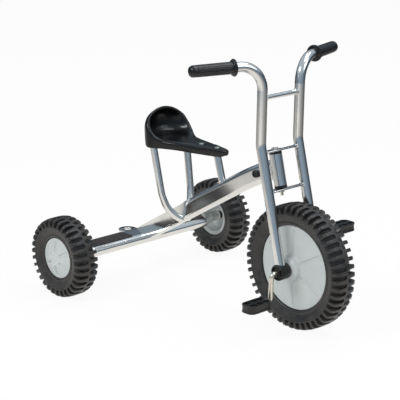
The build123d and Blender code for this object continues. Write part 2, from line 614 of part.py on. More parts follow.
for x in SEAT_BOLT_X:
    bolt = Pos(*SEAT_ZERO) * Pos(x, 0, SEAT_RIM_H) * (
        Cylinder(SEAT_BOLT_HEAD_R, SEAT_BOLT_HEAD_T, align=(Align.CENTER, Align.CENTER, Align.MIN))
        + Cylinder(SEAT_BOLT_R, SEAT_RIM_H - BRACKET_UP, align=(Align.CENTER, Align.CENTER, Align.MAX)))
    bolt_parts.append(bolt.solid())
save(Compound(children=bolt_parts), "seat_bolts")
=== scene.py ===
"""Children's tricycle: finishes, moulded detail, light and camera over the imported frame."""
import logging
import math
from dataclasses import dataclass
from enum import Enum
from functools import cache
from typing import Any, Callable

import bpy
from mathutils import Matrix, Quaternion, Vector


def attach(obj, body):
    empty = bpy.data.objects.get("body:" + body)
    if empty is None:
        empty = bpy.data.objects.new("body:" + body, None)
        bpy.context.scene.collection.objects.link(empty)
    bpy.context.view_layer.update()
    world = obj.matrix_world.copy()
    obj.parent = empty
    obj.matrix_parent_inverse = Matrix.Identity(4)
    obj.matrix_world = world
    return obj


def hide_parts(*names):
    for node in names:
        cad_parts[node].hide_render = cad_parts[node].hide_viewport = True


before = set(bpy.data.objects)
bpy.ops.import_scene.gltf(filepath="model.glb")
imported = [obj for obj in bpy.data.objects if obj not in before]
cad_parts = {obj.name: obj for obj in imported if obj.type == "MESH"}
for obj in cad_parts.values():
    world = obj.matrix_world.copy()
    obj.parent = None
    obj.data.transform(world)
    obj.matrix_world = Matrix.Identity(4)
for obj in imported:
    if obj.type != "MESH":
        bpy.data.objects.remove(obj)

Piece, Tree, Socket = bpy.types.Object, bpy.types.NodeTree, bpy.types.NodeSocket
Pair, Triple = tuple[float, float], tuple[float, float, float]
Section = list[Pair]  # radius and distance along the axis of each corner

LOG = logging.getLogger("tricycle")
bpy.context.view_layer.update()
MM = 0.001
MERGE = 5e-6  # corners nearer than this are one, metres
CLOUD_SPAN = (0.35, 0.65)  # noise values between which a finish passes to its shade
GLOSS_SPAN = (0.3, 0.7)  # noise values between which its roughness moves
SMOOTHEST = 0.02  # roughness that no finish goes under
FLAT_ANGLE = math.radians(2)  # triangles that turn by less are one face
EDGE_ROUND = 0.6 * MM  # rounding of the small metal parts' edges


class Side(Enum):
    """Sides of the tricycle, with the sign that Y has there."""

    RIGHT = -1
    LEFT = 1

    @property
    def label(self) -> str:
        """The side as the names of pieces have it."""
        return self.name.lower()

    def mirror(self, place: Vector) -> Vector:
        """This side's place or direction for one that is given for the left."""
        return Vector((place.x, self.value * place.y, place.z))


def at(x: float, y: float, z: float) -> Vector:
    """A fixed place or direction."""
    return Vector((x, y, z)).freeze()


class Part(Enum):
    """What can be picked of a mesh, with Blender's name for it."""

    CORNER = "VERT"
    EDGE = "EDGE"
    FACE = "FACE"


class Axis(Enum):
    """Axes that sections are turned about."""

    X = (1, 0, 0)
    Y = (0, 1, 0)
    Z = (0, 0, 1)

    def point(self, radius: float, along: float) -> Vector:
        """Corner of a section, by its radius and its distance along the axis."""
        corners = {Axis.X: (along, 0, radius), Axis.Y: (radius, along, 0), Axis.Z: (radius, 0, along)}
        return Vector(corners[self])


# ---- small helpers
def srgb(code: str) -> tuple[float, float, float, float]:
    """Turn an sRGB hex value into a linear colour.

    Args:
        code: colour such as "#C8CECD".

    Returns:
        Red, green, blue and alpha, linear.
    """
    parts = [int(code[i:i + 2], 16) / 255 for i in (1, 3, 5)]
    linear = [c / 12.92 if c <= 0.04045 else ((c + 0.055) / 1.055) ** 2.4 for c in parts]
    return (linear[0], linear[1], linear[2], 1.0)


def add(tree: Tree, kind: str, inputs: dict[Any, Any] | None = None, **settings: Any) -> Any:
    """Add one node with its settings, values and links.

    Args:
        tree: node tree that takes the node.
        kind: Blender's name of the node type, after "ShaderNode".
        inputs: socket name or number to a value, or to the output socket it is linked from.
        **settings: properties of the node itself.

    Returns:
        The new node.
    """
    node = tree.nodes.new(f"ShaderNode{kind}")
    for name, value in settings.items():
        setattr(node, name, value)
    for socket, value in (inputs or {}).items():
        if isinstance(value, Socket):
            tree.links.new(value, node.inputs[socket])
        else:
            node.inputs[socket].default_value = value
    return node


def fresh(owner: bpy.types.Material | bpy.types.World) -> Tree:
    """Switch on an owner's nodes and clear them."""
    owner.use_nodes = True
    owner.node_tree.nodes.clear()
    return owner.node_tree


def link(name: str, data: bpy.types.ID) -> Piece:
    """Make an object from its data and put it into the scene."""
    made = bpy.data.objects.new(name, data)
    bpy.context.scene.collection.objects.link(made)
    return made


def reckon(tree: Tree, operation: str, *values: Any) -> Socket:
    """Add one math node and give its result."""
    return add(tree, "Math", dict(enumerate(values)), operation=operation).outputs[0]


def rescale(tree: Tree, value: Socket, span: Pair, low: float, high: float, kind: str = "LINEAR") -> Socket:
    """Bring a value that runs over a span to run from low to high, and no farther."""
    return add(tree, "MapRange", {
        "Value": value, "From Min": span[0], "From Max": span[1], "To Min": low, "To Max": high},
        interpolation_type=kind).outputs[0]


def mix(tree: Tree, share: Socket, first: bpy.types.Node, second: bpy.types.Node) -> bpy.types.Node:
    """Mix two shader nodes by the second one's share."""
    return add(tree, "MixShader", {0: share, 1: first.outputs[0], 2: second.outputs[0]})


# ---- finishes
@dataclass(frozen=True)
class Finish:
    """What a surface is made of: colour, gloss and the grain that its making left.

    Sizes are in millimetres and are turned to Object coordinates, which are metres.
    """

    name: str
    slot: str
    colour: str
    shade: str
    metallic: float = 0.0
    roughness: float = 0.5
    ior: float = 1.5
    mottle_mm: float = 30.0
    mottle: float = 0.5
    grain_mm: float = 0.8
    depth_mm: float = 0.02
    spread: float = 0.08

    def scale(self, size_mm: float) -> float:
        """Noise scale whose features are about that many millimetres."""
        return 1.0 / (size_mm * MM)

    @cache
    def build(self) -> bpy.types.Material:
        """Make the material with its nodes, only once."""
        material = bpy.data.materials.new(self.name)
        tree = fresh(material)
        place = add(tree, "TexCoord").outputs["Object"]
        cloud = add(tree, "TexNoise", {
            "Vector": place, "Scale": self.scale(self.mottle_mm), "Detail": 4.0, "Roughness": 0.55})
        grain = add(tree, "TexNoise", {
            "Vector": place, "Scale": self.scale(self.grain_mm), "Detail": 2.0})
        amount = rescale(tree, cloud.outputs["Fac"], CLOUD_SPAN, 0.0, self.mottle)
        tint = add(tree, "Mix", {
            "Factor": amount, 6: srgb(self.colour), 7: srgb(self.shade)}, data_type="RGBA")
        rough = rescale(tree, cloud.outputs["Fac"], GLOSS_SPAN,
                        max(SMOOTHEST, self.roughness - self.spread), self.roughness + self.spread)
        bump = add(tree, "Bump", {
            "Height": grain.outputs["Fac"], "Distance": self.depth_mm * MM})
        shader = add(tree, "BsdfPrincipled", {
            "Base Color": tint.outputs[2], "Metallic": self.metallic, "Roughness": rough,
            "IOR": self.ior, "Normal": bump.outputs["Normal"]})
        add(tree, "OutputMaterial", {"Surface": shader.outputs["BSDF"]})
        return material


class Surface(Enum):
    """The tricycle's finishes."""

    # Drawn steel polished under a clear lacquer: long mirror bands that follow the tubes, faintly clouded.
    STEEL = Finish("Polished steel tube, clear lacquered", "steel_tube", "#E2E1DF", "#D8D8D8",
                   metallic=1.0, roughness=0.14, mottle_mm=45, grain_mm=0.6, depth_mm=0.003,
                   spread=0.03)
    # Zinc plated rod: a warm grey metal whose highlights stay soft and never mirror.
    ZINC = Finish("Steel rod, zinc plated", "zinc_steel", "#E2DDD0", "#CFCBC2",
                  metallic=1.0, roughness=0.32, mottle_mm=12, grain_mm=0.5, depth_mm=0.01)
    # Moulded polypropylene: a cool pale grey with a satin sheen that catches on each flute's edge.
    DISC = Finish("Polypropylene, injection moulded", "wheel_plastic", "#CAD0CE", "#C0C8C8",
                  roughness=0.34, mottle_mm=40, depth_mm=0.01)
    # Press moulded rubber: dark grey, bloomed brown in patches, with a broad dull sheen on the shoulders.
    TYRE = Finish("Natural rubber, press moulded", "tyre", "#1F1F20", "#3A3735",
                  roughness=0.42, mottle=0.9, mottle_mm=25, grain_mm=1.2, depth_mm=0.05)
    # Gloss moulded ABS: near black, so that only soft reflections draw the bowl and its rim.
    SEAT = Finish("ABS seat shell, gloss moulded", "seat_plastic", "#060607", "#0B0B0C",
                  roughness=0.24, ior=1.45, spread=0.03, mottle_mm=50, grain_mm=1.0,
                  depth_mm=0.006)
    # Moulded nylon: black with small clear highlights on the caps' rims.
    BLACK = Finish("Nylon, injection moulded", "black_plastic", "#08080A", "#101012",
                   roughness=0.3, ior=1.45, mottle_mm=10)
    # Moulded polypropylene: a softer black whose edges show as thin grey lines.
    PEDAL = Finish("Polypropylene block, moulded", "pedal_plastic", "#0E0E0F", "#1A1A1B",
                   roughness=0.34, mottle_mm=12)
    # Moulded rubber buffer: a matt black that swallows the light.
    RUBBER = Finish("Rubber buffer, moulded", "black_rubber", "#0F0F10", "#191919",
                    mottle_mm=8, depth_mm=0.03)
    # Dip moulded PVC: black, with a streak of light along the top of every rib.
    GRIP = Finish("Soft PVC grip, dip moulded", "grip_rubber", "#0E0E0F", "#161618",
                  roughness=0.28, mottle_mm=14)
    # Chrome plated bolt, dulled by use: grey heads with one small bright spot.
    BOLT = Finish("Steel bolt, chrome plated", "zinc_steel", "#A9AEA8", "#7F857E",
                  metallic=1.0, roughness=0.38, spread=0.04, mottle_mm=8, grain_mm=0.5,
                  depth_mm=0.004)
    # Brushed weld bead: an uneven silver seam that sparkles against the smooth tube.
    WELD = Finish("Steel weld bead, brushed and lacquered", "steel_tube", "#E6E4E0", "#C4C2BE",
                  metallic=1.0, roughness=0.2, mottle_mm=4, grain_mm=0.7, depth_mm=0.05)
    # Grit strip: a dark brown-grey grain without gloss, which reads as a surface to step on.
    PAD = Finish("Grit strip on steel", "grip_pad", "#2E2A29", "#4A4443",
                 roughness=0.8, mottle_mm=14, grain_mm=1.4, depth_mm=0.5)


def dress(piece: Piece, surface: Surface) -> None:
    """Give a piece one finish all over and report it."""
    piece.data.materials.clear()
    piece.data.materials.append(surface.value.build())
    LOG.info("%s: %s", piece.name, surface.value.name)


# ---- modelling by hand
def grab(*pieces: Piece) -> None:
    """Select only these pieces and make the first one active."""
    bpy.ops.object.select_all(action="DESELECT")
    for piece in pieces:
        piece.select_set(True)
    bpy.context.view_layer.objects.active = pieces[0]


def pick(piece: Piece, test: Callable[[Any], bool], part: Part = Part.CORNER) -> None:
    """Enter edit mode with only the parts of a mesh selected that pass a test.

    Args:
        piece: mesh object.
        test: tells of a corner, edge or face whether it is wanted.
        part: which of the three is tested.
    """
    enter(piece)
    bpy.ops.mesh.select_mode(type=part.value)
    bpy.ops.mesh.select_all(action="DESELECT")
    leave()
    mesh = piece.data
    for item in {Part.CORNER: mesh.vertices, Part.EDGE: mesh.edges, Part.FACE: mesh.polygons}[part]:
        item.select = test(item)
    bpy.ops.object.mode_set(mode="EDIT")


def limits(places: list[Vector], axis: int) -> Pair:
    """The least and the greatest of places along axis 0, 1 or 2."""
    values = [place[axis] for place in places]
    return min(values), max(values)


def span(mesh: bpy.types.Mesh, edge: bpy.types.MeshEdge, axis: int) -> float:
    """How far an edge reaches along axis 0, 1 or 2."""
    start, end = (mesh.vertices[number].co[axis] for number in edge.vertices)
    return abs(start - end)


def enter(piece: Piece) -> None:
    """Enter edit mode with all of a piece selected."""
    grab(piece)
    bpy.ops.object.mode_set(mode="EDIT")
    bpy.ops.mesh.select_all(action="SELECT")


def leave() -> None:
    """Return to object mode."""
    bpy.ops.object.mode_set(mode="OBJECT")


def modify(piece: Piece, kind: str, **settings: Any) -> None:
    """Add one modifier and apply it.

    Args:
        piece: mesh object.
        kind: Blender's name of the modifier.
        **settings: properties of the modifier.
    """
    grab(piece)
    modifier = piece.modifiers.new(kind.lower(), kind)
    for name, value in settings.items():
        setattr(modifier, name, value)
    bpy.ops.object.modifier_apply(modifier=modifier.name)


def soften(piece: Piece, width: float, angle: float, segments: int = 2) -> None:
    """Bevel the edges that turn by more than an angle in degrees."""
    modify(piece, "BEVEL", width=width, segments=segments, limit_method="ANGLE",
           angle_limit=math.radians(angle))


def cut(piece: Piece, tool: Piece) -> None:
    """Take a tool's form out of a piece; the tool is used up."""
    modify(piece, "BOOLEAN", operation="DIFFERENCE", solver="EXACT", object=tool)
    bpy.data.objects.remove(tool)


def face_outward(piece: Piece, merge: float = 0.0) -> None:
    """Turn every face of a closed piece outward; a distance merges its corners first."""
    enter(piece)
    if merge:
        bpy.ops.mesh.remove_doubles(threshold=merge)
    bpy.ops.mesh.normals_make_consistent(inside=False)
    leave()


def brick(size: Triple) -> Piece:
    """Start a form from a cuboid about the origin."""
    bpy.ops.mesh.primitive_cube_add(size=1, location=(0, 0, 0))
    piece = bpy.context.object
    enter(piece)
    bpy.ops.transform.resize(value=size)
    leave()
    return piece


def draw(points: list[Vector]) -> Piece:
    """Draw an open line by pulling one corner from point to point."""
    bpy.ops.mesh.primitive_plane_add(size=0.01, location=(0, 0, 0))
    wire = bpy.context.object
    enter(wire)
    bpy.ops.mesh.select_mode(type="VERT")
    bpy.ops.mesh.select_all(action="SELECT")
    bpy.ops.mesh.merge(type="CENTER")
    bpy.ops.transform.translate(value=points[0])
    for here, there in zip(points, points[1:]):
        bpy.ops.mesh.extrude_region_move(TRANSFORM_OT_translate={"value": there - here})
    leave()
    return wire


def turn(points: list[Vector], axis: Axis, steps: int, angle: float = math.tau) -> Piece:
    """Turn a drawn line round an axis through the origin.

    Args:
        points: corners of the line, metres.
        axis: what it is turned about.
        steps: steps of the whole angle.
        angle: how far it is turned, radians.

    Returns:
        The turned surface.
    """
    piece = draw(points)
    enter(piece)
    bpy.ops.mesh.spin(steps=steps, angle=angle, center=(0, 0, 0), axis=axis.value)
    leave()
    face_outward(piece, MERGE)
    return piece


def lathe(section: Section, axis: Axis, steps: int, sign: int = 1) -> Piece:
    """Turn a section in millimetres all round an axis; sign -1 lays it the other way."""
    return turn([axis.point(radius, sign * along) * MM for radius, along in section], axis, steps)


def copies(piece: Piece, places: list[Matrix]) -> Piece:
    """Copy a piece to several places, each copy with its own mesh, and join them.

    Args:
        piece: what is copied; it is used up.
        places: where each copy goes.

    Returns:
        The joined piece.
    """
    made = []
    for place in places:
        mesh = piece.data.copy()
        mesh.transform(place)
        made.append(link(piece.name, mesh))
    bpy.data.objects.remove(piece)
    grab(*made)
    if len(made) > 1:
        bpy.ops.object.join()
    return made[0]


def settle(piece: Piece, name: str, angle: float = 35.0) -> Piece:
    """Name a piece, put its place into its mesh and shade it smooth.

    Args:
        piece: mesh object.
        name: name that it and its mesh get.
        angle: edges that turn by more degrees stay sharp.

    Returns:
        The same piece.
    """
    grab(piece)
    bpy.ops.object.transform_apply(location=True, rotation=True, scale=True)
    bpy.ops.object.shade_smooth_by_angle(angle=math.radians(angle))
    piece.name = name
    piece.data.name = name
    return piece


def cad_copy(node: str) -> Piece:
    """Copy a solid's mesh with its loose triangles merged."""
    piece = link(node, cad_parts[node].data.copy())
    enter(piece)
    bpy.ops.mesh.remove_doubles(threshold=MERGE)
    leave()
    return piece


def hand_in(piece: Piece, body: str, surface: Surface, *nodes: str) -> None:
    """Tie a finished piece to its body and the solids it stands for.

    Args:
        piece: finished mesh object.
        body: body that it moves with.
        surface: finish that it takes.
        *nodes: solids that it replaces.
    """
    dress(piece, surface)
    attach(piece, body)
    if nodes:
        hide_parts(*nodes)


def keep(surface: Surface, *nodes: str) -> None:
    """Dress solids that are shown as they are."""
    for node in nodes:
        dress(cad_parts[node], surface)


# ---- wheels
@dataclass
class Tyre:
    """Block tyre: smooth middle band, round-ended pockets that leave staggered lugs, ringed sidewalls.

    Lengths are in metres. The pockets slope down from the band by an angle in degrees.
    """

    node: str
    body: str
    centre: Vector
    radius: float
    rim: float
    rim_half: float
    lugs: int
    half: float = 34.0 * MM
    band: float = 7.0 * MM
    lug_height: float = 6.5 * MM
    shoulder: float = 16.0 * MM
    bead: float = 12.0 * MM
    pocket: float = 11.5 * MM
    pocket_length: float = 44.0 * MM
    pocket_slope: float = 27.0
    pocket_round: float = 0.49
    tool_height: float = 30.0 * MM
    seam: float = 0.02 * MM
    flat: float = 0.002 * MM
    edge: float = 0.8 * MM
    edge_angle: float = 38.0

    @property
    def pitch(self) -> float:
        """Angle from one lug to the next, radians."""
        return math.tau / self.lugs

    def section(self) -> Section:
        """Half the section as radius and distance from the middle plane, crown first."""
        rim, half = self.rim, self.half
        crown = [(self.radius - drop * MM, out * MM) for drop, out in (
            (0, 0), (0.1, 10), (0.5, 18), (1.5, 24), (3.2, 28.8), (5.6, 31.6), (9, 33.2), (13, 33.8))]
        crown.append((self.radius - 17 * MM, half))
        wall = self.radius - self.shoulder - rim - self.bead
        flank = [(rim + self.bead + wall * share, half - drop * MM) for share, drop in (
            (0.8, 0.15), (0.62, 0.9), (0.6, 1.9), (0.5, 2.4), (0.25, 4.6), (0.0, 8.2))]
        lip = self.rim_half + 1.5 * MM
        foot = [(rim + up * MM, half - drop * MM) for up, drop in ((9.5, 9), (8.5, 8), (5, 8.4), (2, 10.4))]
        foot += [(rim + up * MM, lip + out * MM) for up, out in ((0.8, 1), (0.4, -2))]
        foot.append((rim - 3 * MM, self.rim_half - 3 * MM))
        return crown + flank + foot

    def wedge(self) -> Piece:
        """One pitch of the tyre about the Y axis, still without its pockets."""
        half = self.section()
        loop = half + [(radius, -out) for radius, out in reversed(half[1:])]
        back = Matrix.Rotation(self.pitch / 2, 3, "Y")
        points = [back @ Axis.Y.point(radius, out) for radius, out in loop]
        piece = turn(points + points[:1], Axis.Y, 4, self.pitch)
        pick(piece, lambda edge: False, Part.EDGE)
        bpy.ops.mesh.select_non_manifold(extend=False)
        bpy.ops.mesh.fill_holes(sides=0)
        leave()
        face_outward(piece)
        return piece

    def cutter(self) -> Piece:
        """What is taken out of one wedge: a whole pocket on one side, two halves on the other."""
        tool = brick((self.tool_height, self.pocket_length, self.pocket))
        mesh = tool.data
        pick(tool, lambda edge: span(mesh, edge, 0) > self.tool_height / 2
             and all(mesh.vertices[number].co.y < 0 for number in edge.vertices), Part.EDGE)
        bpy.ops.mesh.bevel(offset=self.pocket * self.pocket_round, segments=5)
        leave()
        floor = self.radius - self.lug_height + self.tool_height / 2
        slope = Matrix.Rotation(math.radians(self.pocket_slope), 4, "Z")
        outward = Matrix.Translation((0, self.pocket_length / 2, 0))
        inner = Matrix.Translation((floor, self.band, 0)) @ slope @ outward
        flip = Matrix.Diagonal((1, -1, 1, 1))
        tool = copies(tool, [inner] + [
            Matrix.Rotation(sign * self.pitch / 2, 4, "Y") @ flip @ inner for sign in (-1, 1)])
        face_outward(tool)
        return tool

    def build(self) -> None:
        """Cut one wedge, open its ends, copy it round, join and soften the edges."""
        wedge = self.wedge()
        cut(wedge, self.cutter())
        mesh = wedge.data
        ends = [Matrix.Rotation(sign * self.pitch / 2, 3, "Y") @ Vector((0, 0, 1)) for sign in (-1, 1)]
        pick(wedge, lambda face: any(
            all(abs(mesh.vertices[number].co.dot(end)) < self.flat for number in face.vertices)
            for end in ends), Part.FACE)
        bpy.ops.mesh.delete(type="FACE")
        leave()
        whole = copies(wedge, [Matrix.Rotation(n * self.pitch, 4, "Y") for n in range(self.lugs)])
        face_outward(whole, self.seam)
        soften(whole, self.edge, self.edge_angle)
        whole.location = self.centre
        hand_in(settle(whole, f"{self.node}_block_tread", 40), self.body, Surface.TYRE, self.node)


@dataclass
class Disc:
    """Wheel disc turned from its section, with round-ended flutes pressed into its outer faces.

    The section and the flute's two ends are radius and distance outward from the wheel's middle, in
    millimetres. Faces are the signs of the sides that have flutes.
    """

    node: str
    body: str
    centre: Vector
    section: Section
    flute: tuple[Pair, Pair]
    faces: tuple[int, ...]
    flutes: int = 6
    flute_radius: float = 4.5 * MM
    flute_depth: float = 3.3 * MM
    edge: float = 0.35 * MM
    edge_angle: float = 32.0

    def tool(self) -> Piece:
        """The capsules that press the flutes, each tilted to the face that it is pressed into."""
        start, end = (Vector((r, out, 0)) * MM for r, out in self.flute)
        radius = self.flute_radius
        length = (end - start).length - 2 * radius
        arc = [math.pi * k / 12 for k in range(7)]
        line = [Axis.X.point(radius * math.sin(a), radius - radius * math.cos(a)) for a in arc]
        line += [Axis.X.point(radius * math.cos(a), radius + length + radius * math.sin(a)) for a in arc]
        capsule = turn(line, Axis.X, 24)
        lean = math.atan2(end.y - start.y, end.x - start.x)
        lift = Matrix.Translation((0, radius - self.flute_depth, 0))
        first = Matrix.Translation(start) @ Matrix.Rotation(lean, 4, "Z") @ lift
        pressed = [Matrix.Diagonal((1, face, 1, 1)) @ first for face in self.faces]
        return copies(capsule, [
            Matrix.Rotation(math.tau * (n + 0.5) / self.flutes, 4, "Y") @ place
            for n in range(self.flutes) for place in pressed])

    def build(self) -> None:
        """Turn the disc, press its flutes and soften their rims."""
        disc = lathe(self.section + self.section[:1], Axis.Y, 120, self.faces[0])
        tool = self.tool()
        face_outward(tool)
        cut(disc, tool)
        soften(disc, self.edge, self.edge_angle)
        disc.location = self.centre
        settle(disc, f"{self.node}_pressed_disc", 40)
        modify(disc, "WEIGHTED_NORMAL", keep_sharp=True, weight=80)
        hand_in(disc, self.body, Surface.DISC, self.node)


@dataclass
class AxleHousing:
    """Black cap on the fork's foot: rounded rim, ring recess and the bushing that the crank turns in."""

    side: Side
    centre: Vector
    half: float = 15.0

    def section(self) -> Section:
        """Radius and distance outward from the housing's middle, millimetres."""
        end = self.half
        inner = [(6.5, -end), (18.4, -end), (19.6, 0.5 - end), (20.0, 1.6 - end)]
        return inner + [(radius, end - depth) for radius, depth in (
            (20.0, 4.4), (19.6, 4.0), (19.6, 3.4), (20.0, 3.0), (20.0, 1.7), (19.5, 0.6), (18.4, 0.1),
            (16.9, 0), (16.1, 0.3), (15.8, 1.2), (15.6, 4.4), (14.8, 5.0), (11.2, 5.0), (10.6, 4.5),
            (10.4, 1.2), (9.8, 0.6), (8.0, 0.6), (7.6, 1.2), (6.5, 2.2))]

    def build(self) -> None:
        """Turn the cap about the wheel's axis."""
        section, name = self.section(), f"axle_housing_{self.side.label}"
        cap = lathe(section + section[:1], Axis.Y, 72, self.side.value)
        cap.location = self.centre
        hand_in(settle(cap, f"{name}_cap", 30), "fork", Surface.BLACK, name)


# ---- controls
@dataclass
class Grip:
    """Soft grip: two-step flange, lengthwise ribs that wave a little, rounded end.

    Levels are millimetres along the grip. The wave turns each level of the ribs by a few degrees.
    """

    side: Side
    start: Vector
    direction: Vector
    ribs: int = 18
    rib_height: float = 0.45 * MM
    rib_levels: Pair = (13.0, 101.0)
    rib_radius: float = 10.0 * MM
    levels: range = range(14, 104, 5)
    taper: float = 0.004
    wave: float = 0.04
    wave_step: float = 0.9
    edge: float = 0.35 * MM

    def section(self) -> Section:
        """Radius and distance along the grip, millimetres."""
        flange = [(12.6, 0.1), (19.6, 0.1), (20.7, 0.7), (21.0, 1.8), (20.9, 3.0), (20.2, 3.8), (18.6, 4.0),
                  (18.3, 4.6), (18.2, 6.4), (17.6, 7.4), (16.4, 7.8), (15.1, 8.2), (14.6, 9.0), (14.4, 11.0)]
        body = [(14.4 - self.taper * (level - self.levels[0]), float(level)) for level in self.levels]
        end = [(14.3, 105.0), (14.4, 106.5), (14.0, 109.5), (12.8, 112.6), (10.8, 115.0), (8.0, 116.4),
               (4.5, 116.9), (0.0, 117.0)]
        return flange + body + end

    def is_rib(self, face: bpy.types.MeshPolygon) -> bool:
        """Whether a face of the turned grip is where a rib is raised."""
        low, high = self.rib_levels
        turned = math.atan2(face.center.y, face.center.x) / math.tau
        return (low * MM < face.center.z < high * MM and face.center.xy.length > self.rib_radius
                and math.floor(turned * self.ribs * 2) % 2 == 0)

    def build(self) -> None:
        """Turn the grip about Z, wave and raise its ribs, then lay it along the bar."""
        grip = lathe(self.section(), Axis.Z, self.ribs * 4)
        for index, level in enumerate(self.levels):
            pick(grip, lambda corner: abs(corner.co.z - level * MM) < 0.01 * MM)
            bpy.ops.transform.rotate(value=self.wave * math.sin(index * self.wave_step), orient_axis="Z",
                                     center_override=(0, 0, 0))
            leave()
        pick(grip, self.is_rib, Part.FACE)
        bpy.ops.mesh.extrude_region_shrink_fatten(TRANSFORM_OT_shrink_fatten={"value": self.rib_height})
        leave()
        soften(grip, self.edge, 35)
        grip.rotation_euler = self.direction.to_track_quat("Z", "Y").to_euler()
        grip.location = self.start
        name = f"grip_{self.side.label}"
        hand_in(settle(grip, f"{name}_ribbed", 50), "fork", Surface.GRIP, name)


@dataclass
class Pedal:
    """Block pedal: rounded ends, lipped rims, three rows of pockets on each face, waisted side."""

    side: Side
    pin: Vector
    width: float = 43.0 * MM
    length: float = 73.0 * MM
    thick: float = 20.0 * MM
    corner: float = 15.0 * MM
    rim: float = 3.4 * MM
    waist: float = 0.9 * MM
    pocket: Triple = (12.5 * MM, 17.5 * MM, 4.4 * MM)
    pocket_corner: float = 3.2 * MM
    pocket_place: Pair = (10.6 * MM, 20.6 * MM)
    edge: float = 0.9 * MM

    def block(self) -> Piece:
        """The outer form about the origin, with its length along Y."""
        block = brick((self.width, self.length, self.thick))
        mesh = block.data
        pick(block, lambda edge: span(mesh, edge, 2) > self.thick / 2, Part.EDGE)
        bpy.ops.mesh.bevel(offset=self.corner, segments=10)
        leave()
        for level in (self.thick / 2 - self.rim, self.rim - self.thick / 2):
            enter(block)
            bpy.ops.mesh.bisect(plane_co=(0, 0, level), plane_no=(0, 0, 1))
            leave()
        pick(block, lambda face: abs(face.center.z) < self.thick / 2 - self.rim, Part.FACE)
        bpy.ops.mesh.extrude_region_shrink_fatten(TRANSFORM_OT_shrink_fatten={"value": -self.waist})
        leave()
        return block

    def pockets(self) -> Piece:
        """The twelve rounded blocks that leave the pockets."""
        wide, long, deep = self.pocket
        tool = brick((wide, long, 2 * deep))
        mesh = tool.data
        pick(tool, lambda edge: span(mesh, edge, 2) > deep, Part.EDGE)
        bpy.ops.mesh.bevel(offset=self.pocket_corner, segments=3)
        leave()
        across, apart = self.pocket_place
        return copies(tool, [
            Matrix.Translation((column * across, row * apart, face * self.thick / 2))
            for column in (-1, 1) for row in (-1, 0, 1) for face in (-1, 1)])

    def collar(self) -> Piece:
        """The round collar at the inner end, which meets the arm."""
        collar = lathe([(0, -3.6), (8.6, -3.6), (9.4, -3.0), (9.6, -1.0), (9.6, 3.0), (0, 3.0)], Axis.Y, 40)
        collar.location = (0, -self.length / 2, 0)
        return collar

    def build(self) -> None:
        """Form the block, cut its pockets, soften its edges and add the collar."""
        block = self.block()
        cut(block, self.pockets())
        soften(block, self.edge, 40, 3)
        grab(block, self.collar())
        bpy.ops.object.join()
        block.location = self.pin + Vector((0, self.side.value * self.length / 2, 0))
        block.rotation_euler = (0, 0, 0 if self.side is Side.LEFT else math.pi)
        name = f"pedal_{self.side.label}"
        hand_in(settle(block, f"{name}_block", 40), name, Surface.PEDAL, name)


